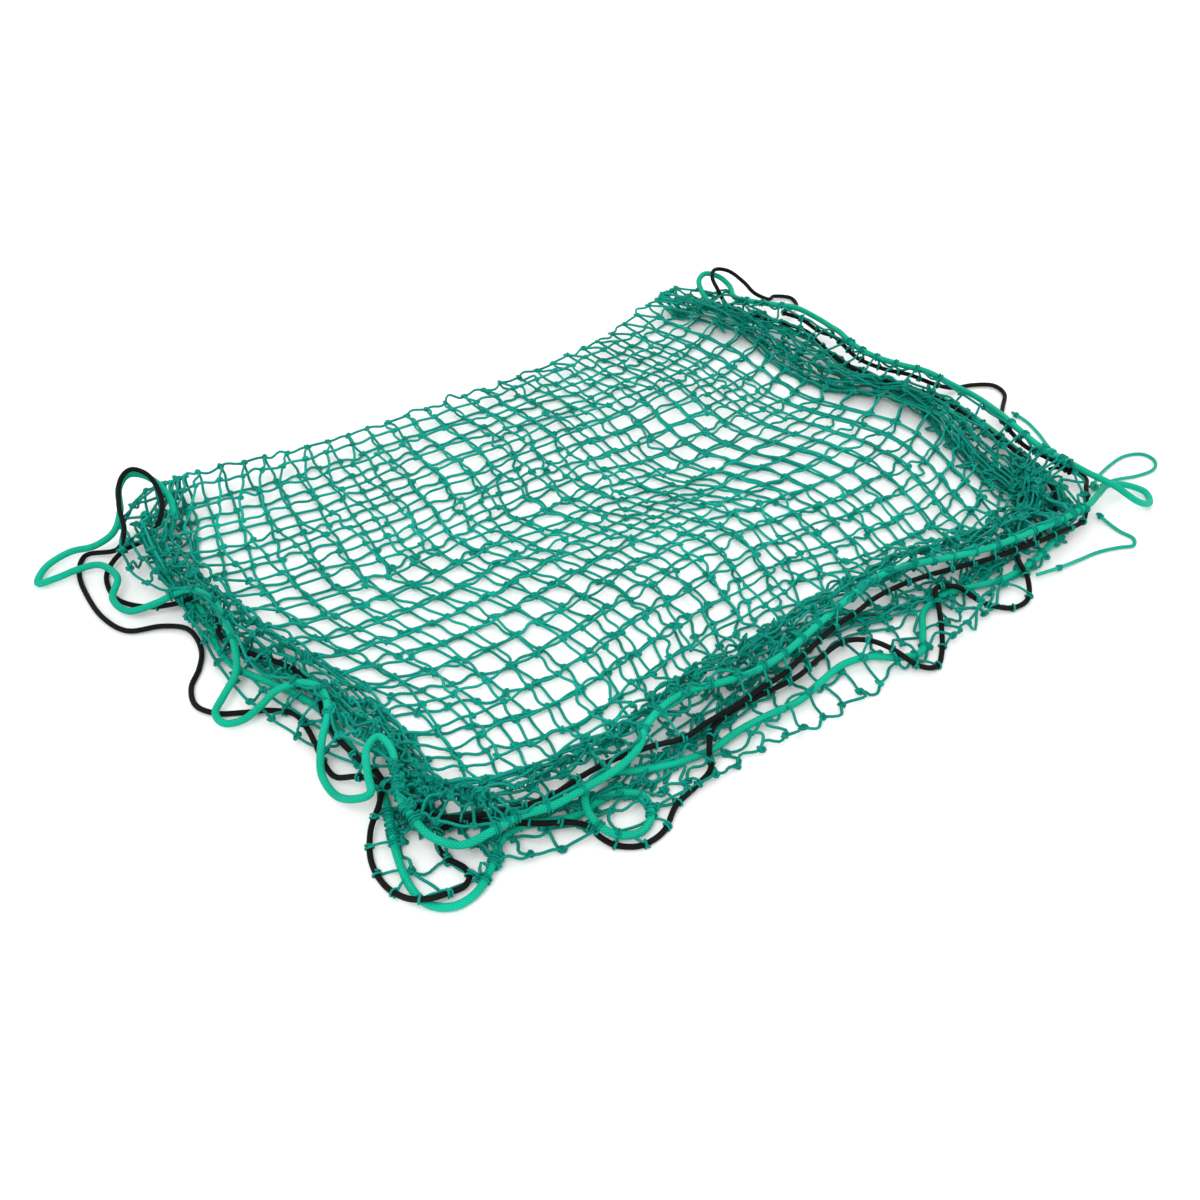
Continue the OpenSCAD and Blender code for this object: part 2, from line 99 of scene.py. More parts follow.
rope_lower_route = [
    (-0.580, 0.318, 0.013), (-0.600, 0.285, 0.013), (-0.610, 0.245, 0.013), (-0.604, 0.200, 0.013),
    (-0.596, 0.155, 0.013), (-0.602, 0.110, 0.013), (-0.610, 0.065, 0.013), (-0.604, 0.020, 0.013),
    (-0.586, -0.020, 0.013), (-0.568, -0.060, 0.013), (-0.556, -0.100, 0.013), (-0.553, -0.145, 0.013),
    (-0.556, -0.190, 0.013), (-0.556, -0.235, 0.013), (-0.563, -0.275, 0.013), (-0.578, -0.312, 0.013),
    (-0.592, -0.350, 0.011), (-0.600, -0.390, 0.008), (-0.595, -0.420, 0.007), (-0.574, -0.438, 0.007),
    (-0.545, -0.438, 0.008), (-0.517, -0.423, 0.012), (-0.493, -0.404, 0.013), (-0.465, -0.399, 0.013),
    (-0.435, -0.412, 0.013), (-0.405, -0.426, 0.013), (-0.370, -0.426, 0.013), (-0.343, -0.432, 0.013),
    (-0.326, -0.452, 0.013), (-0.334, -0.476, 0.010), (-0.358, -0.487, 0.010), (-0.385, -0.474, 0.014),
    (-0.396, -0.446, 0.024), (-0.384, -0.418, 0.030), (-0.350, -0.404, 0.025), (-0.305, -0.420, 0.013),
    (-0.262, -0.438, 0.013), (-0.218, -0.448, 0.013), (-0.172, -0.446, 0.013), (-0.126, -0.450, 0.013),
    (-0.080, -0.456, 0.013), (-0.035, -0.450, 0.013), (0.010, -0.446, 0.013), (0.048, -0.458, 0.013),
    (0.076, -0.482, 0.013), (0.106, -0.492, 0.013), (0.134, -0.470, 0.013), (0.166, -0.444, 0.013),
    (0.210, -0.438, 0.013), (0.254, -0.450, 0.013), (0.298, -0.466, 0.013), (0.344, -0.470, 0.013),
    (0.390, -0.466, 0.013), (0.436, -0.456, 0.013), (0.480, -0.440, 0.013), (0.514, -0.416, 0.013),
    (0.536, -0.384, 0.013), (0.548, -0.344, 0.013), (0.560, -0.302, 0.013), (0.570, -0.260, 0.013),
    (0.578, -0.218, 0.013), (0.584, -0.172, 0.013), (0.584, -0.128, 0.013), (0.572, -0.086, 0.013),
    (0.554, -0.046, 0.013), (0.538, -0.004, 0.013), (0.532, 0.042, 0.013), (0.538, 0.088, 0.013),
    (0.546, 0.132, 0.013), (0.542, 0.178, 0.013), (0.526, 0.220, 0.013), (0.508, 0.258, 0.013),
    (0.492, 0.292, 0.013),
]
rope_bight_right_route = [
    (0.478, 0.322, 0.020), (0.474, 0.350, 0.036), (0.488, 0.380, 0.046), (0.514, 0.392, 0.048),
    (0.534, 0.376, 0.042), (0.534, 0.346, 0.036),
]
rope_upper_route = [
    (0.516, 0.312, 0.034), (0.522, 0.274, 0.040), (0.542, 0.240, 0.042), (0.566, 0.206, 0.042),
    (0.586, 0.172, 0.030), (0.584, 0.136, 0.030), (0.566, 0.098, 0.042), (0.552, 0.054, 0.044),
    (0.552, 0.008, 0.044), (0.566, -0.036, 0.044), (0.588, -0.078, 0.042), (0.604, -0.120, 0.032),
    (0.612, -0.164, 0.028), (0.604, -0.206, 0.030), (0.584, -0.244, 0.040), (0.566, -0.284, 0.046),
    (0.556, -0.328, 0.046), (0.554, -0.372, 0.048), (0.552, -0.416, 0.050), (0.560, -0.456, 0.047),
    (0.580, -0.488, 0.028), (0.612, -0.492, 0.012), (0.636, -0.470, 0.008), (0.622, -0.444, 0.012),
    (0.588, -0.434, 0.022), (0.546, -0.444, 0.031), (0.500, -0.456, 0.040), (0.452, -0.456, 0.044),
    (0.404, -0.450, 0.044), (0.356, -0.442, 0.044), (0.308, -0.432, 0.044), (0.264, -0.418, 0.044),
    (0.220, -0.400, 0.044), (0.176, -0.384, 0.044), (0.130, -0.378, 0.044), (0.084, -0.384, 0.044),
    (0.038, -0.390, 0.044), (-0.017, -0.399, 0.044), (-0.066, -0.406, 0.044), (-0.113, -0.405, 0.044),
    (-0.155, -0.394, 0.044), (-0.193, -0.381, 0.044), (-0.236, -0.380, 0.044), (-0.273, -0.392, 0.044),
    (-0.302, -0.412, 0.044), (-0.339, -0.421, 0.044), (-0.383, -0.421, 0.044), (-0.430, -0.418, 0.044),
    (-0.466, -0.407, 0.044), (-0.504, -0.404, 0.042), (-0.538, -0.397, 0.040), (-0.558, -0.368, 0.042),
    (-0.560, -0.333, 0.044), (-0.557, -0.304, 0.044), (-0.545, -0.275, 0.046), (-0.531, -0.242, 0.048),
    (-0.533, -0.215, 0.048), (-0.554, -0.224, 0.048), (-0.570, -0.255, 0.047), (-0.580, -0.277, 0.042),
    (-0.598, -0.265, 0.033), (-0.607, -0.236, 0.020), (-0.604, -0.200, 0.022), (-0.584, -0.170, 0.038),
    (-0.560, -0.142, 0.044), (-0.548, -0.104, 0.044), (-0.562, -0.076, 0.042), (-0.588, -0.060, 0.032),
    (-0.613, -0.062, 0.022), (-0.638, -0.064, 0.016), (-0.659, -0.054, 0.015), (-0.660, -0.032, 0.016),
    (-0.639, -0.014, 0.019), (-0.612, 0.006, 0.027), (-0.595, 0.044, 0.039), (-0.588, 0.088, 0.044),
    (-0.585, 0.132, 0.044), (-0.602, 0.172, 0.040), (-0.640, 0.188, 0.026), (-0.674, 0.205, 0.018),
    (-0.682, 0.242, 0.018), (-0.662, 0.272, 0.024), (-0.670, 0.314, 0.022), (-0.696, 0.332, 0.016),
    (-0.726, 0.339, 0.011), (-0.750, 0.347, 0.009), (-0.728, 0.372, 0.011), (-0.692, 0.377, 0.015),
    (-0.662, 0.362, 0.020),
]
rope_bight_left_route = [
    (-0.632, 0.358, 0.032), (-0.612, 0.366, 0.056), (-0.600, 0.386, 0.078), (-0.578, 0.398, 0.086),
    (-0.554, 0.388, 0.074), (-0.542, 0.362, 0.050), (-0.554, 0.336, 0.024),
]
# From the point that the routes are measured from to the frame's origin
route_origin = np.array([0.012617, 0.064516, 0])


def smooth(points, closed, steps):
    """A smooth line through given points, with some steps between each pair."""
    p = np.array(points)
    n = len(p)
    spans = n if closed else n - 1
    line = []
    for i in range(spans):
        if closed:
            a, b, c, d = (p[(i + k) % n] for k in (-1, 0, 1, 2))
        else:
            a, b, c, d = (p[min(max(i + k, 0), n - 1)] for k in (-1, 0, 1, 2))
        for t in np.arange(steps) / steps:
            line.append(0.5 * (2 * b + (c - a) * t + (2 * a - 5 * b + 4 * c - d) * t**2
                               + (3 * b - a - 3 * c + d) * t**3))
    line.append(p[0] if closed else p[-1])
    return np.array(line) + route_origin


def run_length(line):
    """How far along a line each of its points is."""
    return np.concatenate([[0], np.cumsum(np.linalg.norm(np.diff(line, axis=0), axis=1))])


def even(line, step):
    """The same line with its points evenly apart."""
    along = run_length(line)
    at = np.linspace(0, along[-1], max(2, round(along[-1] / step) + 1))
    return np.stack([np.interp(at, along, line[:, k]) for k in range(3)], axis=1)


def rings(lines, radius, sides, outward=None):
    """Rings of points round many lines at once, where lines is (count, points, 3).
    A coil says which way is outward."""
    ahead = np.empty_like(lines)
    ahead[:, 1:-1] = lines[:, 2:] - lines[:, :-2]
    ahead[:, 0] = lines[:, 1] - lines[:, 0]
    ahead[:, -1] = lines[:, -1] - lines[:, -2]
    ahead /= np.maximum(np.linalg.norm(ahead, axis=2, keepdims=True), 1e-9)
    side = np.cross(ahead, [0, 0, 1]) if outward is None else outward
    side[np.linalg.norm(side, axis=2) < 1e-3] = [1, 0, 0]
    side /= np.linalg.norm(side, axis=2, keepdims=True)
    up = np.cross(side, ahead)
    turn = 2 * math.pi * np.arange(sides) / sides
    out = side[:, :, None] * np.cos(turn)[:, None] + up[:, :, None] * np.sin(turn)[:, None]
    return lines[:, :, None] + out * radius


def tube_faces(points, sides):
    """The faces of one closed tube: quads along it, and a fan of triangles at each end."""
    j, k = np.meshgrid(np.arange(points - 1), np.arange(sides), indexing="ij")
    near, far = j * sides, (j + 1) * sides
    after = (k + 1) % sides
    quads = np.stack([near + k, near + after, far + after, far + k], axis=2).reshape(-1, 4)
    fan = np.arange(1, sides - 1)
    last = (points - 1) * sides
    start_cap = np.stack([np.zeros_like(fan), fan + 1, fan], axis=1)
    end_cap = np.stack([np.full_like(fan, last), last + fan, last + fan + 1], axis=1)
    return quads, np.concatenate([start_cap, end_cap])


class Field:
    """A value that varies over a surface: arithmetic on it adds Math nodes."""

    def __init__(self, tree, socket):
        self.tree, self.socket = tree, socket

    def maths(self, operation, *values):
        return node(self.tree, "ShaderNodeMath", {"operation": operation}, dict(enumerate(values)))

    def __add__(self, other):
        return self.maths("ADD", self, other)

    def __radd__(self, other):
        return self.maths("ADD", other, self)

    def __sub__(self, other):
        return self.maths("SUBTRACT", self, other)

    def __rsub__(self, other):
        return self.maths("SUBTRACT", other, self)

    def __mul__(self, other):
        return self.maths("MULTIPLY", self, other)

    def __rmul__(self, other):
        return self.maths("MULTIPLY", other, self)

    def __pow__(self, other):
        return self.maths("POWER", self, other)

    def __abs__(self):
        return self.maths("ABSOLUTE", self)

    def wave(self):
        return self.maths("COSINE", self)


def node(tree, kind, settings, inputs, output=0):
    """Adds a node: its settings first, then the values or links of its sockets."""
    made = tree.nodes.new(kind)
    for key, value in settings.items():
        setattr(made, key, value)
    for key, value in inputs.items():
        if isinstance(value, Field):
            tree.links.new(value.socket, made.inputs[key])
        else:
            made.inputs[key].default_value = value
    return Field(tree, made.outputs[output])


def noise(tree, place, scale, detail=2.0):
    """Soft noise from 0 to 1, with so many lumps in a metre."""
    return node(tree, "ShaderNodeTexNoise", {}, {"Vector": place, "Scale": scale, "Detail": detail})


def mix(tree, share, first, second):
    """One colour into another."""
    return node(tree, "ShaderNodeMix", {"data_type": "RGBA"}, {0: share, 6: first, 7: second}, 2)


def braid(name, deep, light, worn, strands, slope, height, roughness):
    """Braided cord: strands of two hands cross in diamonds, with fine filaments along them.
    The UV map runs once round the cord, and as far along it in the same unit."""
    material = bpy.data.materials.new(name)
    material.use_nodes = True
    tree = material.node_tree
    shader = tree.nodes["Principled BSDF"]
    uv = node(tree, "ShaderNodeUVMap", {"uv_map": "along"}, {})
    parts = tree.nodes.new("ShaderNodeSeparateXYZ")
    tree.links.new(uv.socket, parts.inputs[0])
    around, along = Field(tree, parts.outputs[0]), Field(tree, parts.outputs[1])
    place = node(tree, "ShaderNodeTexCoord", {}, {}, "Object")
    right = (around + along * slope) * (math.pi * strands)
    left = (around - along * slope) * (math.pi * strands)
    pips = abs(right.wave() * left.wave()) ** 0.55
    over = (right.wave() * left.wave()) * 60
    over = over.maths("MINIMUM", over.maths("MAXIMUM", over, 0), 1)
    filaments = (right * 6).wave() * over + (left * 6).wave() * (1 - over)
    relief = pips + filaments * 0.06
    wear = noise(tree, place, 9.0, 4.0)
    streak = noise(tree, place, 60.0, 3.0)
    tone_and_shade = node(tree, "ShaderNodeAttribute", {"attribute_name": "tone_and_shade"}, {}, "Fac")
    # Painted shade and highlight: the hollows between the strands are shaded towards the deep colour and the
    # crests lit towards the light one; the fine streaks are the cord's own.
    body = mix(tree, pips * 0.8 + streak * 0.3 - 0.1, deep, light)
    body = mix(tree, (wear - 0.42).maths("MAXIMUM", wear - 0.42, 0) * 1.6, body, worn)
    # The per-point attribute darkens the colour towards the deep one: partly random tone, and partly painted
    # shade where twines crowd together.
    body = mix(tree, tone_and_shade * 0.8, body, deep)
    tree.links.new(body.socket, shader.inputs["Base Color"])
    tree.links.new((roughness + 0.18 * streak - pips * 0.08).socket, shader.inputs["Roughness"])
    bump = node(tree, "ShaderNodeBump", {}, {"Strength": 0.75, "Distance": height, "Height": relief})
    tree.links.new(bump.socket, shader.inputs["Normal"])
    shader.inputs["Specular IOR Level"].default_value = 0.1
    return material


def skin(name, points, faces, uvs, tones_and_shade, material):
    """A smooth mesh at the origin: points, faces, a UV for each face corner, and for each point a value of
    random tone and painted shade.
    """
    mesh = bpy.data.meshes.new(name)
    mesh.from_pydata(points.reshape(-1, 3).tolist(), [], [tuple(f) for part in faces for f in part.tolist()])
    layer = mesh.uv_layers.new(name="along")
    layer.data.foreach_set("uv", np.asarray(uvs, np.float32).ravel())
    mesh.attributes.new("tone_and_shade", "FLOAT", "POINT").data.foreach_set("value", np.asarray(tones_and_shade, np.float32))
    mesh.polygons.foreach_set("use_smooth", np.ones(len(mesh.polygons), bool))
    mesh.materials.append(material)
    mesh.update()
    piece = bpy.data.objects.new(name, mesh)
    bpy.context.collection.objects.link(piece)
    return piece


def tubes(lines, diameter, sides, outward=None):
    """Closed tubes along many lines of equally many points: their points, faces and UVs."""
    count, points = lines.shape[:2]
    quads, caps = tube_faces(points, sides)
    start = np.arange(count)[:, None, None] * points * sides
    spans = np.linalg.norm(np.diff(lines, axis=1), axis=2).mean(axis=0)
    v = np.concatenate([[0], np.cumsum(spans)]) / (math.pi * diameter)
    around = np.tile(np.arange(sides), points - 1)
    low, high = np.repeat(v[:-1], sides), np.repeat(v[1:], sides)
    u0, u1 = around / sides, (around + 1) / sides
    quad_uv = np.stack([u0, low, u1, low, u1, high, u0, high], axis=1).reshape(-1, 2)
    faces = [(quads[None] + start).reshape(-1, 4), (caps[None] + start).reshape(-1, 3)]
    uvs = [np.tile(quad_uv, (count, 1)), np.zeros((count * caps.size, 2))]
    return rings(lines, diameter / 2, sides, outward).reshape(-1, 3), faces, uvs


rope_braid = braid("braided_rope", (0.0, 0.22, 0.13, 1), (0.0, 0.50, 0.31, 1), (0.006, 0.56, 0.38, 1),
                   strands=8, slope=0.8, height=0.0008, roughness=0.5)


STEPS = 8  # points of the drawn line between two points of a route
rope_line = smooth(rope_lower_route + rope_bight_right_route + rope_upper_route
                   + rope_bight_left_route, True, STEPS)
rope_cuts = np.cumsum([0, len(rope_lower_route) - 1, len(rope_bight_right_route) + 1,
                       len(rope_upper_route) - 1, len(rope_bight_left_route) + 1]) * STEPS
rope_run = run_length(rope_line)
rope_d = 0.0095


def stretch(line, cuts, i):
    """One stretch of a closed cord, from one cut to the next."""
    return line[cuts[i]:cuts[i + 1] + 1]


def lay_cord(name, line, diameter, sides, material, step, start, node_name):
    """A free cord that takes the place of its CAD tube."""
    path = even(line, step)
    points, faces, uvs = tubes(path[None], diameter, sides)
    uvs[0][:, 1] += start / (math.pi * diameter)
    piece = skin(name, points, faces, np.concatenate(uvs), np.zeros(len(points)), material)
    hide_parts(node_name)
    return piece


rope_lower = lay_cord("border_rope_lower", stretch(rope_line, rope_cuts, 0), rope_d, 20, rope_braid, 0.003,
                      0, "rope_lower")
rope_upper = lay_cord("border_rope_upper", stretch(rope_line, rope_cuts, 2), rope_d, 20, rope_braid, 0.003,
                      rope_run[rope_cuts[2]], "rope_upper")
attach(rope_lower, "lower_leaf")
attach(rope_upper, "upper_leaf")
for side, i, near, far in (("right", 1, 0.4925, 0.5155), ("left", 3, -0.598, -0.638)):
    bight = lay_cord("border_rope_bight_" + side, stretch(rope_line, rope_cuts, i), rope_d, 20, rope_braid,
                     0.003, rope_run[rope_cuts[i]], "rope_bight_" + side)
    far + route_origin[0]
    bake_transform(bight)

# ---- Elastic cord ----
# A 7 mm shock cord with a black woven cover, laced beside the rope all the way round. It is one closed loop,
# which stands in small loops outside the edge where a hook would catch it.

elastic_lower_route = [
    (-0.596, 0.326, 0.024), (-0.635, 0.328, 0.018), (-0.668, 0.309, 0.006), (-0.676, 0.255, 0.006),
    (-0.652, 0.205, 0.013), (-0.617, 0.175, 0.022), (-0.580, 0.165, 0.024), (-0.586, 0.120, 0.024),
    (-0.600, 0.080, 0.024), (-0.590, 0.040, 0.024), (-0.570, 0.005, 0.024), (-0.552, -0.035, 0.024),
    (-0.546, -0.080, 0.024), (-0.560, -0.125, 0.024), (-0.564, -0.170, 0.024), (-0.560, -0.212, 0.024),
    (-0.554, -0.250, 0.024), (-0.572, -0.280, 0.024), (-0.598, -0.302, 0.015), (-0.616, -0.332, 0.006),
    (-0.620, -0.368, 0.005), (-0.612, -0.402, 0.014), (-0.594, -0.420, 0.018), (-0.570, -0.422, 0.010),
    (-0.554, -0.425, 0.010), (-0.542, -0.417, 0.009), (-0.541, -0.403, 0.009), (-0.548, -0.385, 0.009),
    (-0.550, -0.367, 0.010), (-0.542, -0.354, 0.013), (-0.527, -0.352, 0.019), (-0.508, -0.364, 0.024),
    (-0.486, -0.385, 0.024), (-0.462, -0.404, 0.024), (-0.442, -0.420, 0.024), (-0.419, -0.435, 0.023),
    (-0.402, -0.449, 0.015), (-0.398, -0.465, 0.009), (-0.388, -0.483, 0.005), (-0.366, -0.499, 0.005),
    (-0.334, -0.499, 0.005), (-0.302, -0.482, 0.008), (-0.268, -0.476, 0.009), (-0.238, -0.469, 0.012),
    (-0.224, -0.450, 0.024), (-0.196, -0.428, 0.024), (-0.150, -0.424, 0.024), (-0.105, -0.428, 0.024),
    (-0.060, -0.432, 0.024), (-0.015, -0.426, 0.024), (0.030, -0.424, 0.024), (0.058, -0.442, 0.024),
    (0.068, -0.474, 0.027), (0.084, -0.506, 0.013), (0.108, -0.518, 0.006), (0.134, -0.504, 0.007),
    (0.158, -0.482, 0.012), (0.180, -0.456, 0.022), (0.204, -0.430, 0.024), (0.230, -0.446, 0.024),
    (0.244, -0.478, 0.012), (0.270, -0.506, 0.006), (0.304, -0.510, 0.006), (0.326, -0.490, 0.017),
    (0.334, -0.468, 0.026), (0.352, -0.448, 0.023), (0.372, -0.444, 0.023), (0.400, -0.446, 0.024),
    (0.442, -0.436, 0.024), (0.478, -0.420, 0.024), (0.508, -0.396, 0.024), (0.528, -0.360, 0.024),
    (0.540, -0.318, 0.024), (0.550, -0.276, 0.024), (0.556, -0.232, 0.024), (0.562, -0.188, 0.024),
    (0.566, -0.144, 0.024), (0.560, -0.100, 0.024), (0.546, -0.060, 0.024), (0.530, -0.018, 0.024),
    (0.522, 0.028, 0.024), (0.526, 0.076, 0.024), (0.536, 0.118, 0.024), (0.546, 0.156, 0.024),
    (0.536, 0.198, 0.024), (0.518, 0.236, 0.024), (0.504, 0.270, 0.024),
]
elastic_bight_right_route = [
    (0.494, 0.306, 0.026), (0.494, 0.334, 0.046), (0.502, 0.360, 0.058), (0.524, 0.376, 0.060),
    (0.550, 0.366, 0.052), (0.562, 0.338, 0.038),
]
elastic_upper_route = [
    (0.560, 0.306, 0.030), (0.586, 0.294, 0.014), (0.612, 0.304, 0.007), (0.634, 0.284, 0.005),
    (0.620, 0.254, 0.007), (0.584, 0.240, 0.018), (0.550, 0.218, 0.032), (0.560, 0.186, 0.031),
    (0.572, 0.150, 0.018), (0.572, 0.116, 0.024), (0.552, 0.076, 0.033), (0.540, 0.028, 0.033),
    (0.550, -0.020, 0.033), (0.570, -0.058, 0.033), (0.598, -0.090, 0.020), (0.630, -0.106, 0.008),
    (0.668, -0.118, 0.005), (0.694, -0.140, 0.005), (0.688, -0.168, 0.005), (0.656, -0.190, 0.007),
    (0.622, -0.212, 0.014), (0.592, -0.238, 0.025), (0.570, -0.268, 0.032), (0.556, -0.304, 0.033),
    (0.562, -0.342, 0.030), (0.582, -0.368, 0.018), (0.584, -0.398, 0.016), (0.560, -0.416, 0.020),
    (0.526, -0.440, 0.022), (0.484, -0.464, 0.024), (0.436, -0.466, 0.033), (0.390, -0.460, 0.033),
    (0.345, -0.450, 0.033), (0.300, -0.440, 0.033), (0.255, -0.426, 0.033), (0.210, -0.412, 0.033),
    (0.165, -0.402, 0.033), (0.120, -0.398, 0.033), (0.075, -0.402, 0.033), (0.030, -0.404, 0.033),
    (-0.022, -0.413, 0.033), (-0.073, -0.423, 0.033), (-0.115, -0.424, 0.033), (-0.162, -0.426, 0.033),
    (-0.205, -0.425, 0.033), (-0.244, -0.426, 0.033), (-0.284, -0.412, 0.033), (-0.333, -0.402, 0.035),
    (-0.379, -0.399, 0.035), (-0.420, -0.399, 0.033), (-0.460, -0.388, 0.033), (-0.496, -0.372, 0.033),
    (-0.526, -0.352, 0.031), (-0.543, -0.329, 0.032), (-0.550, -0.298, 0.033), (-0.559, -0.271, 0.035),
    (-0.575, -0.240, 0.031), (-0.592, -0.210, 0.014), (-0.592, -0.180, 0.012), (-0.586, -0.148, 0.012),
    (-0.582, -0.116, 0.012), (-0.584, -0.088, 0.011), (-0.604, -0.060, 0.006), (-0.632, -0.042, 0.005),
    (-0.657, -0.024, 0.005), (-0.672, 0.004, 0.005), (-0.664, 0.036, 0.005), (-0.643, 0.060, 0.005),
    (-0.628, 0.084, 0.006), (-0.622, 0.112, 0.008), (-0.626, 0.140, 0.008), (-0.650, 0.164, 0.007),
    (-0.688, 0.185, 0.005), (-0.704, 0.229, 0.005), (-0.705, 0.285, 0.005), (-0.697, 0.336, 0.005),
    (-0.675, 0.368, 0.006), (-0.640, 0.332, 0.022),
]
elastic_bight_left_route = [
    (-0.620, 0.342, 0.040), (-0.612, 0.362, 0.068), (-0.596, 0.382, 0.092), (-0.574, 0.390, 0.098),
    (-0.556, 0.376, 0.084), (-0.556, 0.352, 0.056), (-0.574, 0.336, 0.034),
]
elastic_line = smooth(elastic_lower_route + elastic_bight_right_route + elastic_upper_route
                      + elastic_bight_left_route, True, STEPS)
elastic_cuts = np.cumsum([0, len(elastic_lower_route) - 1, len(elastic_bight_right_route) + 1,
                          len(elastic_upper_route) - 1, len(elastic_bight_left_route) + 1]) * STEPS
elastic_run = run_length(elastic_line)
elastic_d = 0.007
elastic_cover = braid("woven_elastic_cover", (0.001, 0.0015, 0.0015, 1), (0.005, 0.006, 0.006, 1),
                      (0.012, 0.013, 0.012, 1), strands=10, slope=0.8, height=0.0005, roughness=0.6)

elastic_lower = lay_cord("elastic_cord_lower", stretch(elastic_line, elastic_cuts, 0), elastic_d, 16,
                         elastic_cover, 0.003, 0, "elastic_lower")
elastic_upper = lay_cord("elastic_cord_upper", stretch(elastic_line, elastic_cuts, 2), elastic_d, 16,
                         elastic_cover, 0.003, elastic_run[elastic_cuts[2]], "elastic_upper")
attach(elastic_lower, "lower_leaf")
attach(elastic_upper, "upper_leaf")
for side, i, near, far in (("right", 1, 0.505, 0.559), ("left", 3, -0.598, -0.638)):
    bight = lay_cord("elastic_cord_bight_" + side, stretch(elastic_line, elastic_cuts, i), elastic_d, 16,
                     elastic_cover, 0.003, elastic_run[elastic_cuts[i]], "elastic_bight_" + side)
    far + route_origin[0]
    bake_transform(bight)

# ---- Lacing cord ----
# Three loose lengths of a thin 5 mm braided cord, which ties the doubled edge. One runs off the front edge,
# one makes a long eye beyond the right corner, and one hangs along the right side.

lacing_front_route = [
    (0.352, -0.488, 0.009), (0.392, -0.496, 0.006), (0.430, -0.502, 0.004), (0.468, -0.508, 0.003),
    (0.500, -0.520, 0.003), (0.520, -0.530, 0.003), (0.534, -0.520, 0.003), (0.532, -0.500, 0.003),
    (0.534, -0.478, 0.004), (0.536, -0.456, 0.007),
]
lacing_loop_route = [
    (0.594, -0.410, 0.006), (0.624, -0.400, 0.004), (0.662, -0.394, 0.003), (0.698, -0.394, 0.003),
    (0.724, -0.408, 0.003), (0.724, -0.430, 0.003), (0.702, -0.442, 0.003), (0.668, -0.436, 0.003),
    (0.632, -0.422, 0.004), (0.600, -0.418, 0.006),
]
lacing_side_route = [
    (0.654, -0.210, 0.005), (0.654, -0.240, 0.003), (0.642, -0.272, 0.003), (0.626, -0.302, 0.003),
    (0.610, -0.334, 0.004), (0.600, -0.358, 0.007),
]
lacing_d = 0.005
lacing_braid = braid("braided_lacing", (0.0, 0.22, 0.15, 1), (0.004, 0.48, 0.33, 1), (0.05, 0.55, 0.40, 1),
                     strands=6, slope=0.8, height=0.0004, roughness=0.45)
lacing_lines = {}
for name, route, body, far_end in (("lacing_front", lacing_front_route, "lower_leaf", "object"),
                                   ("lacing_loop", lacing_loop_route, "lower_leaf", "knot"),
                                   ("lacing_side", lacing_side_route, "upper_leaf", "object")):
    lacing_lines[name] = smooth(route, False, STEPS)
    piece = lay_cord(name + "_cord", lacing_lines[name], lacing_d, 12, lacing_braid, 0.0025, 0, name)
    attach(piece, body)

# ---- Netting: where every knot lies ----
# Braided 4 mm twine, knotted in 45 mm meshes, 40 wide and 52 long, hung slack on its border rope and folded
# across its middle. The knots are laid out leaf by leaf and drawn in where the cords gather the mesh. Then
# they are settled, so that twines which came out too long draw in towards 45 mm.

mesh_side = 0.045
twine_d = 0.004
columns, rows = 40, 52
fold_row = rows // 2
chance = np.random.default_rng(11)

# Outlines of the leaves: (x, y) along the fold and the front edges, (y, x) along the left and right ones
fold_line = np.array([(-0.620, 0.398), (-0.540, 0.396), (-0.450, 0.391), (-0.300, 0.376),
                      (-0.150, 0.362), (0, 0.350), (0.135, 0.347), (0.300, 0.363), (0.400, 0.378),
                      (0.470, 0.388), (0.560, 0.392)])
lower_front = np.array([(-0.620, -0.395), (-0.560, -0.412), (-0.470, -0.440), (-0.400, -0.462),
                        (-0.330, -0.478), (-0.250, -0.478), (-0.150, -0.486), (-0.050, -0.492),
                        (0.050, -0.488), (0.140, -0.500), (0.230, -0.500), (0.320, -0.488),
                        (0.420, -0.472), (0.500, -0.440), (0.580, -0.400)])
lower_left = np.array([(-0.460, -0.555), (-0.400, -0.572), (-0.330, -0.574), (-0.260, -0.562),
                       (-0.150, -0.596), (-0.060, -0.622), (0.040, -0.640), (0.130, -0.642),
                       (0.230, -0.628), (0.300, -0.606), (0.360, -0.575), (0.420, -0.560)])
lower_right = np.array([(-0.460, 0.520), (-0.380, 0.548), (-0.280, 0.572), (-0.160, 0.592),
                        (-0.090, 0.580), (0.000, 0.545), (0.120, 0.552), (0.200, 0.545), (0.300, 0.500),
                        (0.380, 0.478)])
upper_front = np.array([(-0.620, -0.286), (-0.550, -0.316), (-0.480, -0.366), (-0.400, -0.386),
                        (-0.300, -0.388), (-0.220, -0.384), (-0.100, -0.396), (0.000, -0.394),
                        (0.120, -0.388), (0.220, -0.392), (0.330, -0.414), (0.430, -0.424),
                        (0.500, -0.398), (0.580, -0.370)])
upper_left = np.array([(-0.420, -0.508), (-0.300, -0.540), (-0.250, -0.544), (-0.180, -0.552),
                       (-0.080, -0.560), (0.000, -0.575), (0.080, -0.592), (0.160, -0.600),
                       (0.230, -0.622), (0.290, -0.640), (0.330, -0.618), (0.370, -0.575),
                       (0.420, -0.550)])
upper_right = np.array([(-0.440, 0.470), (-0.380, 0.512), (-0.280, 0.538), (-0.160, 0.556),
                        (-0.080, 0.538), (0.000, 0.504), (0.120, 0.522), (0.200, 0.504), (0.300, 0.468),
                        (0.380, 0.440)])
fold_z, fold_r = 0.014, 0.011
FOLD_REACH = 0.014  # how far the mesh runs on past the fold line
LOWEST_KNOT, LOWEST_UPPER_KNOT, UPPER_KNOT_AT_FOLD = 0.0034, 0.0105, 0.0256  # heights above the floor
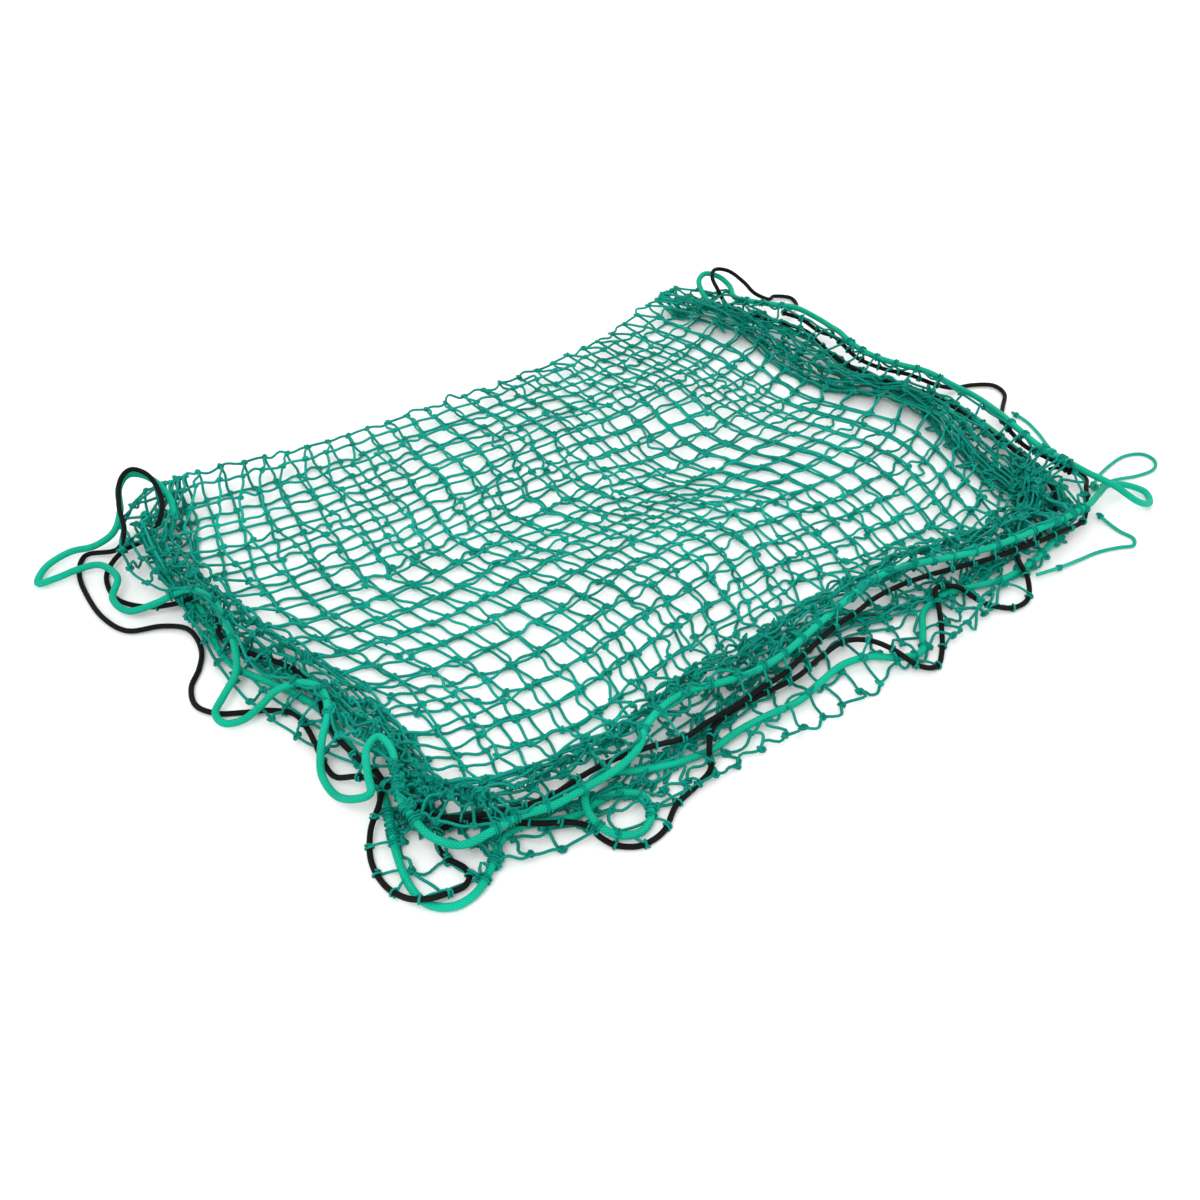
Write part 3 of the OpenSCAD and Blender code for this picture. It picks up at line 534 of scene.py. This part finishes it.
HITCH_GAP = 0.002  # from the rope's surface out to a hitched knot
TAUT = 0.985  # a settling twine is drawn in to this much of a mesh's side
STRAINED = 1.15  # and at this much of it, its hitches let go


def edge(line, at):
    """Where an outline runs, at some places along it."""
    return np.interp(at, line[:, 0], line[:, 1])


def eased(t):
    """A share that starts and stops gently, held between 0 and 1."""
    t = np.clip(t, 0, 1)
    return t * t * (3 - 2 * t)


def leaf_points(u, v, left, right, front):
    """Places in a leaf: u runs from its left edge to its right, and v from the front edge to the fold."""
    x0 = -0.560 + u * 1.040
    y0 = edge(front, x0) + v * (edge(fold_line, x0) + FOLD_REACH - edge(front, x0))
    x = edge(left, y0) + u * (edge(right, y0) - edge(left, y0))
    return x, edge(front, x) + v * (edge(fold_line, x) + FOLD_REACH - edge(front, x))


def drawn_in(count, first, last, first_width, last_width, across, hem):
    """Shares of a leaf's width for each line of knots, with the first and last few gathered close together.
    The gathers grow wider and narrower from row to row, and their outer two meshes take the hem's share."""
    shares = []
    for s in across:
        near = first_width * (1 + 0.35 * math.sin(14 * s + 1))
        far = last_width * (1 + 0.35 * math.sin(17 * s + 2))
        marks, places = [0, 2, first], [0, hem * near, near]
        if last:
            marks, places = marks + [count - last, count - 2], places + [1 - far, 1 - hem * far]
        shares.append(np.interp(np.arange(count + 1), marks + [count], places + [1]))
    return np.array(shares)


def rolling(x, y, phase):
    """Slow waves of the cloth, in metres, which carry rows of knots sideways."""
    return (np.sin(x * 19 + y * 7 + phase) + 0.7 * np.sin(y * 27 - x * 11 + 2 * phase)
            + 0.45 * np.sin(x * 41 + 1.7 * phase) * np.sin(y * 37 + phase))


def nearest(line, points):
    """For each point, the nearest place on a line, how far it is, and the line's direction there."""
    gaps = np.linalg.norm(points[:, None] - line[None], axis=2)
    at = gaps.argmin(axis=1)
    ahead = line[np.minimum(at + 1, len(line) - 1)] - line[np.maximum(at - 1, 0)]
    return line[at], gaps.min(axis=1), ahead / np.linalg.norm(ahead, axis=1, keepdims=True)


# Each leaf: its outline, how many columns and rows its left, right and front edges gather, and the share of
# its width that they take. The lower leaf's outer two rows hang open past the edge of the upper one.
leaf_lay = {
    "lower": ((lower_left, lower_right, lower_front), (6, 0.060), (7, 0.065), (8, 0.115)),
    "upper": ((upper_left, upper_right, upper_front), (7, 0.044), (8, 0.044), (8, 0.060)),
}
hem_share = {"lower": 0.60, "upper": 0.27}
knots = np.zeros((rows + 1, columns + 1, 3))
fold_x = np.zeros(columns + 1)
spots = {}
for leaf, (outline, left, right, front) in leaf_lay.items():
    u = drawn_in(columns, left[0], right[0], left[1], right[1], np.linspace(0, 1, fold_row + 1),
                 hem_share[leaf])
    v = drawn_in(fold_row, front[0], 0, front[1], 0, np.linspace(0, 1, columns + 1), hem_share[leaf]).T
    spots[leaf] = (u, v, *leaf_points(u, v, *outline))
    fold_x += spots[leaf][2][-1] / 2
fold_lift = 0.020 * eased((-0.24 - fold_x) / 0.28) + 0.016 * eased((fold_x - 0.24) / 0.22)
for leaf, (outline, left, right, front) in leaf_lay.items():
    u, v, x, y = spots[leaf]
    lower = leaf == "lower"
    x = x + (fold_x - x[-1]) * eased((v - 0.6) / 0.4)
    inside = eased(v / 0.15) * eased((1 - v) / 0.12) * eased(u / 0.09) * eased((1 - u) / 0.10)
    phase = 0.6 if lower else 2.9
    loose = 0.0030 * (0.7 + 0.3 * inside)
    sway_x, sway_y = rolling(x, y, phase), rolling(y, x, phase + 1.3)
    x = x + inside * 0.0066 * sway_x + chance.normal(0, 1, x.shape) * loose
    y = y + inside * 0.0066 * sway_y + chance.normal(0, 1, y.shape) * loose
    rim = np.maximum.reduce([eased(1.5 * (1 - u / (left[1] * 1.4))),
                             eased(1.5 * (1 - (1 - u) / (right[1] * 1.4))),
                             eased(1.5 * (1 - v / (front[1] * 1.4)))])
    if lower:
        z = LOWEST_KNOT + 0.0006 * chance.random(x.shape)
        z = z + rim * 0.016 * chance.random(x.shape) * eased((1 - v) / 0.1)
        knots[:fold_row + 1] = np.stack([x, y, z], axis=2)
    else:
        cloth = 0.0118 + 0.0018 * np.sin(x * 9.6 + 0.7) * np.sin(y * 10.8)
        cloth = cloth + 0.0012 * np.sin(y * 14 + x * 8.7)
        z = cloth + 0.0010 * chance.random(x.shape) + rim * (0.012 + 0.022 * chance.random(x.shape))
        z = z + (fold_z + fold_r + 0.0010 - z) * eased((v - 0.84) / 0.11)
        z = z + fold_lift * eased((v - 0.78) / 0.2)
        knots[:fold_row:-1] = np.stack([x, y, z], axis=2)[:-1]
knots[fold_row] = np.stack([
    fold_x,
    edge(fold_line, fold_x) + FOLD_REACH + 0.5 * fold_lift + chance.normal(0, 0.002, columns + 1),
    fold_z + fold_lift], axis=1)

# A bunch of mesh stands at each end of the fold, where the cords turn over it
bunched = np.zeros(knots.shape[:2])
for at, spread, top, side in (((-0.602, 0.372), 0.021, 0.084, 0), ((0.508, 0.366), 0.022, 0.064, columns)):
    part = knots[fold_row - 9:fold_row - 1]
    away = np.abs(np.arange(columns + 1) - side)[None]
    back = np.arange(len(part))[::-1, None]
    pull = 0.95 * np.exp(-(away / 3.6) ** 2) * np.exp(-(back / 4.6) ** 2)
    high = 0.010 + (top - 0.010) * chance.random(pull.shape) * np.minimum(1, (back + 1) * 0.4)
    cloud = np.stack([at[0] + spread * chance.normal(0, 1, pull.shape),
                      at[1] + spread * chance.normal(0, 1, pull.shape), high], axis=2)
    part += (cloud - part) * pull[:, :, None]
    bunched[fold_row - 9:fold_row - 1] += pull
knots += route_origin

# The edge knots of each leaf are hitched to its half of the border rope
index = np.arange((rows + 1) * (columns + 1)).reshape(rows + 1, columns + 1)
hitched = np.zeros(knots.shape[:2], bool)
hitch_places = {}
for leaf, cut, reach, edge_rows in (("lower", 0, 0.032, range(fold_row - 1)),
                                    ("upper", 2, 0.070, range(rows, fold_row + 1, -1))):
    first = edge_rows[0]
    edge_knots = ([(j, 0) for j in edge_rows] + [(first, i) for i in range(1, columns)]
                  + [(j, columns) for j in edge_rows])
    where = np.array([knots[j, i] for j, i in edge_knots])
    place, gap, ahead = nearest(stretch(rope_line, rope_cuts, cut), where)
    hitch_places[leaf] = []
    for (j, i), p, far, t in zip(edge_knots, place, gap, ahead):
        if far < reach and bunched[j, i] < 0.3:
            inward = knots[j, i] - p + np.array([0, 0, 0.02 if leaf == "upper" else 0])
            inward = inward - t * np.dot(inward, t)
            if leaf == "lower":
                inward[2] = min(inward[2], -0.2 * rope_d)
            knots[j, i] = p + inward / np.linalg.norm(inward) * (rope_d / 2 + HITCH_GAP)
            hitched[j, i] = True
            hitch_places[leaf].append((p, t, index[j, i]))

# Twines: pairs of neighbouring knots. Twice on the way, the hitches of twines still 15 % too long let go.
twines = np.concatenate([np.stack([index[:, :-1], index[:, 1:]], 2).reshape(-1, 2),
                         np.stack([index[:-1], index[1:]], 2).reshape(-1, 2)])
free = np.where(hitched.ravel(), 0.0, 1.0)
free[index[fold_row]] = 0.0
settled = knots.reshape(-1, 3)
floor_height = settled[:, 2].copy()
touching = np.maximum(np.bincount(twines.ravel(), minlength=len(settled)), 1)
a, b = twines.T
on_upper = np.arange(len(settled)) >= index[fold_row + 1, 0]
for turn in range(240):
    apart = settled[b] - settled[a]
    long = np.linalg.norm(apart, axis=1)
    if turn in (100, 160):
        strained = np.unique(twines[long > mesh_side * STRAINED])
        free[np.setdiff1d(strained, index[fold_row])] = 1.0
    share = free[a] + free[b]
    pull = np.maximum(long - mesh_side * TAUT, 0) / np.maximum(long, 1e-9) / np.maximum(share, 1e-9)
    move = apart * pull[:, None]
    shift = np.zeros_like(settled)
    np.add.at(shift, a, move * free[a][:, None])
    np.add.at(shift, b, -move * free[b][:, None])
    settled += shift / touching[:, None] * 1.9
    settled[:, 2] = np.maximum(settled[:, 2], floor_height - 0.004)
    settled[:, 2] = np.maximum(settled[:, 2], np.where(on_upper, LOWEST_UPPER_KNOT, LOWEST_KNOT))
    settled[index[fold_row - 1], 2] = LOWEST_KNOT
    settled[index[fold_row + 1], 2] = np.maximum(settled[index[fold_row + 1], 2], UPPER_KNOT_AT_FOLD)
crowd = bunched.ravel()
for leaf, held in hitch_places.items():
    hitch_places[leaf] = [(p, t) for p, t, knot in held if free[knot] == 0]

# ---- Netting: twines and knots ----
# Each side of a mesh is a length of braided twine between two knots. Where these lie closer together than
# it is long it bows aside, up to a limit. The knots stand for sheet bends, drawn tight.

twine_braid = braid("braided_twine", (0.0, 0.12, 0.088, 1), (0.0, 0.46, 0.350, 1), (0.006, 0.50, 0.39, 1),
                    strands=4, slope=0.8, height=0.0003, roughness=0.55)
TWINE_POINTS, TWINE_SIDES = 8, 6


def twine_lines(pairs, crowded, lowest):
    """The lines of some twines: a soft bow or a flat S between two knots, fuller where they are crowded."""
    a, b = settled[pairs[:, 0]], settled[pairs[:, 1]]
    apart = b - a
    far = np.linalg.norm(apart, axis=1)
    slack = np.maximum(mesh_side - far, 0.0004)
    bow = np.minimum(np.sqrt(0.375 * np.maximum(far, 0.012) * slack), 0.0052 + 0.0078 * crowded)
    side = np.cross(apart, [0, 0, 1])
    side /= np.maximum(np.linalg.norm(side, axis=1, keepdims=True), 1e-9)
    tilt = chance.normal(0, 0.22 + 0.8 * crowded)
    out = side * np.cos(tilt)[:, None] + np.array([0, 0, 1]) * np.sin(tilt)[:, None]
    t = np.linspace(0, 1, TWINE_POINTS)
    first = chance.normal(0, 0.62, len(pairs)) * bow
    second = chance.normal(0, 0.45, len(pairs)) * bow
    lift = first[:, None] * np.sin(math.pi * t) + second[:, None] * np.sin(2 * math.pi * t)
    lines = a[:, None] + apart[:, None] * t[None, :, None] + out[:, None] * lift[:, :, None]
    lines[:, 1:-1, 2] = np.maximum(lines[:, 1:-1, 2], lowest)
    return lines


# A knot is modelled once, as two small rings of twine locked through each other
bpy.ops.mesh.primitive_torus_add(major_segments=7, minor_segments=4, major_radius=0.0034,
                                 minor_radius=0.0021, location=(0.0008, 0, 0), rotation=(0.5, 0.15, 0))
knot_model = bpy.context.object
knot_model.name = "knot_model"
bpy.ops.mesh.primitive_torus_add(major_segments=7, minor_segments=4, major_radius=0.0031,
                                 minor_radius=0.0020, location=(-0.0011, 0.0004, 0),
                                 rotation=(0.3, 1.15, 0.9))
knot_model.select_set(True)
bpy.context.view_layer.objects.active = knot_model
bpy.ops.object.join()
bpy.ops.object.mode_set(mode="EDIT")
bpy.ops.mesh.select_all(action="SELECT")
bpy.ops.transform.resize(value=(1.18, 1.0, 0.8), center_override=(0, 0, 0))
bpy.ops.object.mode_set(mode="OBJECT")
bpy.ops.object.transform_apply(location=True, rotation=True, scale=True)
knot_points = np.array([v.co for v in knot_model.data.vertices])
knot_faces = np.array([tuple(p.vertices) for p in knot_model.data.polygons])
bpy.data.objects.remove(knot_model)


def merged(parts):
    """Several sets of points, faces and UVs as one."""
    faces, uvs, count = [], [], 0
    for points, some_faces, some_uvs in parts:
        faces += [f + count for f in some_faces]
        uvs += some_uvs
        count += len(points)
    return np.concatenate([part[0] for part in parts]), faces, np.concatenate(uvs)


def netting(name, pairs, which, crowded, lowest):
    """A piece of netting from pairs of knots to join and the knots to tie."""
    lines = twine_lines(pairs, crowded, lowest)
    turn = chance.uniform(0, 2 * math.pi, len(which))[:, None]
    c, s = np.cos(turn), np.sin(turn)
    model = knot_points[None] * chance.uniform(0.9, 1.12, len(which))[:, None, None]
    tied = np.stack([model[:, :, 0] * c - model[:, :, 1] * s, model[:, :, 0] * s + model[:, :, 1] * c,
                     model[:, :, 2]], axis=2) + settled[which][:, None]
    tied[:, :, 2] = np.maximum(tied[:, :, 2], 0.0003)
    tied_faces = (knot_faces[None] + np.arange(len(which))[:, None, None] * len(knot_points)).reshape(-1, 4)
    tied_uvs = np.tile([(0, 0), (0.25, 0), (0.25, 0.2), (0, 0.2)], (len(tied_faces), 1))
    points, faces, uvs = merged([tubes(lines, twine_d, TWINE_SIDES),
                                 (tied.reshape(-1, 3), [tied_faces], [tied_uvs])])
    # Painted shade: twines and knots in crowded gathers and bunches get a darker value, standing in for the
    # shade they cast on each other; the random spread round it is the twine's own tone.
    shade = 0.22 + 0.38 * crowded.mean()
    tones_and_shade = np.concatenate([np.repeat(chance.normal(shade, 0.14, len(pairs)), TWINE_POINTS * TWINE_SIDES),
                            np.repeat(chance.normal(shade, 0.14, len(which)), len(knot_points))]).clip(0, 1)
    piece = skin(name, points, faces, uvs, tones_and_shade, twine_braid)
    return piece


row_of, column_of = np.divmod(np.arange(len(settled)), columns + 1)
low_row = np.minimum(row_of[twines[:, 0]], row_of[twines[:, 1]])
high_row = np.maximum(row_of[twines[:, 0]], row_of[twines[:, 1]])
low_column = np.minimum(column_of[twines[:, 0]], column_of[twines[:, 1]])
from_front = np.where(high_row < fold_row, low_row, rows - high_row)
for leaf, (outline, left, right, front) in leaf_lay.items():
    if leaf == "lower":
        of_leaf, knot_of_leaf = high_row < fold_row, row_of < fold_row
    else:
        of_leaf, knot_of_leaf = low_row > fold_row, row_of > fold_row
    knot_front = np.where(row_of < fold_row, row_of, rows - row_of)
    lowest = 0.0021 if leaf == "lower" else 0.0090
    zones = {
        "gather_left": (low_column < left[0], column_of < left[0]),
        "gather_right": (low_column >= columns - right[0], column_of > columns - right[0]),
        "gather_front": (from_front < front[0], knot_front < front[0]),
    }
    taken, knot_taken = np.zeros(len(twines), bool), np.zeros(len(settled), bool)
    for zone, (mine, knots_mine) in zones.items():
        mine, knots_mine = mine & of_leaf & ~taken, knots_mine & knot_of_leaf & ~knot_taken
        taken, knot_taken = taken | mine, knot_taken | knots_mine
        piece = netting(leaf + "_leaf_" + zone, twines[mine], np.flatnonzero(knots_mine),
                        np.ones(mine.sum()), lowest)
        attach(piece, leaf + "_leaf")
        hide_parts("net_" + leaf + "_" + zone)
    open_field = of_leaf & ~taken
    piece = netting(leaf + "_leaf_netting", twines[open_field], np.flatnonzero(knot_of_leaf & ~knot_taken),
                    crowd[twines[open_field]].mean(axis=1), lowest)
    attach(piece, leaf + "_leaf")
    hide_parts("net_" + leaf)

# ---- Netting: the fold ----
# The two rows of meshes that turn over at the fold, between the leaves. The bunches at the fold's ends are
# drawn with the lower leaf's gathers, but their CAD nodes go here.

over_fold = (low_row <= fold_row) & (high_row >= fold_row)
piece = netting("fold_netting", twines[over_fold], index[fold_row], np.full(over_fold.sum(), 0.25), 0.0021)
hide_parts("net_fold", "net_corner_left", "net_corner_right")
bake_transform(piece)

# ---- Twine hitches round the border rope ----
# At each hitched edge knot the twine takes about a turn and a half round the rope, and holds the net to it.


def coil(places, ahead, radius, turns, pitch, points):
    """Lines of thread wound round a cord at some places, and the way outward at each of their points."""
    places, ahead = np.array(places), np.array(ahead)
    side = np.cross(ahead, [0, 0, 1.0])
    side /= np.linalg.norm(side, axis=1, keepdims=True)
    up = np.cross(side, ahead)
    t = np.linspace(0, 1, points)
    angle = chance.uniform(0, 2 * math.pi, len(places))[:, None] + 2 * math.pi * turns * t[None]
    out = side[:, None] * np.cos(angle)[:, :, None] + up[:, None] * np.sin(angle)[:, :, None]
    wound = ((t - 0.5) * turns * pitch)[None, :, None] * ahead[:, None]
    return places[:, None] + out * radius + wound, out


def tie(name, parts, body, node_name, material):
    """A piece made of wound thread, which takes the place of its CAD node."""
    points, faces, uvs = merged(parts)
    points[:, 2] = np.maximum(points[:, 2], 0.0002)
    piece = skin(name, points, faces, uvs, np.full(len(points), 0.4), material)
    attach(piece, body)
    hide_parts(node_name)


HITCH_POINTS = 14
for leaf in ("lower", "upper"):
    places, ahead = zip(*hitch_places[leaf])
    lines, out = coil(places, ahead, rope_d / 2 + 0.0014, 1.6, 0.0042, HITCH_POINTS)
    tie("rope_" + leaf + "_hitch_turns", [tubes(lines, 0.0032, 4, out)], leaf + "_leaf",
        "rope_" + leaf + "_hitches", twine_braid)

# ---- Twine over the elastic ----
# The elastic is laced through the edge meshes. Every 35 mm, where a knot is near, a turn of twine crosses it
# and runs on to that knot.

for leaf, cut, first_knot, last_knot in (("lower", 0, 0, index[fold_row, 0]),
                                         ("upper", 2, index[fold_row + 1, 0], len(settled))):
    line = even(stretch(elastic_line, elastic_cuts, cut), 0.035)[1:-1]
    ahead = np.gradient(line, axis=0)
    ahead /= np.linalg.norm(ahead, axis=1, keepdims=True)
    ends, gap, _ = nearest(settled[first_knot:last_knot], line)
    close = gap < 0.042
    lines, out = coil(line[close], ahead[close], elastic_d / 2 + 0.0014, 1.3, 0.0040, 12)
    t = np.linspace(0, 1, 6)[None, :, None]
    tails = lines[:, -1:] * (1 - t) + ends[close][:, None] * t
    tails[:, :, 2] += 0.004 * np.sin(math.pi * t[:, :, 0])
    tie("elastic_" + leaf + "_lacing_turns", [tubes(lines, 0.0032, 4, out), tubes(tails, 0.0036, 5)],
        leaf + "_leaf", "elastic_" + leaf + "_hitches", twine_braid)

# ---- Whipping, and the knot in the elastic ----
# Seven turns of twine bind the border rope's two ends together, and the elastic's ends share a round knot.

at = 34 * STEPS + STEPS // 2
upper_line = stretch(rope_line, rope_cuts, 2)
whipped = upper_line[at + 1] - upper_line[at - 1]
lines, out = coil([upper_line[at]], [whipped / np.linalg.norm(whipped)], rope_d / 2 + 0.0012, 7, 0.0027, 84)
tie("rope_whipping_turns", [tubes(lines, 0.0026, 6, out)], "upper_leaf", "rope_whipping", twine_braid)

at = 25 * STEPS
upper_line = stretch(elastic_line, elastic_cuts, 2)
knotted = upper_line[at + 1] - upper_line[at - 1]
knotted /= np.linalg.norm(knotted)
lines, out = coil([upper_line[at]], [knotted], elastic_d / 2 + 0.0030, 2.2, 0.0066, 40)
t = np.linspace(0, 1, 8)[:, None]
tails = np.array([lines[0, end] + (out[0, end] * 0.010 + knotted * (0.016 if end else -0.016)) * t
                  + np.array([0, 0, 0.003]) * np.sin(math.pi * t) for end in (0, -1)])
tie("elastic_knot_turns", [tubes(lines, 0.0062, 10, out), tubes(tails, 0.0060, 10)], "upper_leaf",
    "elastic_knot", elastic_cover)

# ---- Knots in the lacing cord ----
# Twine is whipped round the loose lengths near their ends, and the long eye is closed with a knot in the
# cord itself.

for name, body, ends in (("lacing_front", "lower_leaf", (STEPS, -STEPS // 2)),
                         ("lacing_side", "upper_leaf", (3, -4))):
    line = lacing_lines[name]
    ahead = np.array([line[end + 1] - line[end - 1] for end in ends])
    ahead /= np.linalg.norm(ahead, axis=1, keepdims=True)
    lines, out = coil([line[end] for end in ends], ahead, lacing_d / 2 + 0.0010, 2.3, 0.0026, 26)
    tie(name + "_turns", [tubes(lines, 0.0024, 6, out)], body, name + "_knots", twine_braid)

t = np.linspace(0.3, 2 * math.pi - 0.3, 60)
knot_line = np.stack([np.sin(t) + 2 * np.sin(2 * t), np.cos(t) - 2 * np.cos(2 * t),
                      -1.25 * np.sin(3 * t)], axis=1)
knot_line = knot_line * 0.0023 + np.array([0.586, -0.414, 0.0082]) + route_origin
tie("lacing_loop_cord_knot", [tubes(knot_line[None], 0.0046, 10)], "lower_leaf", "lacing_loop_knot",
    lacing_braid)
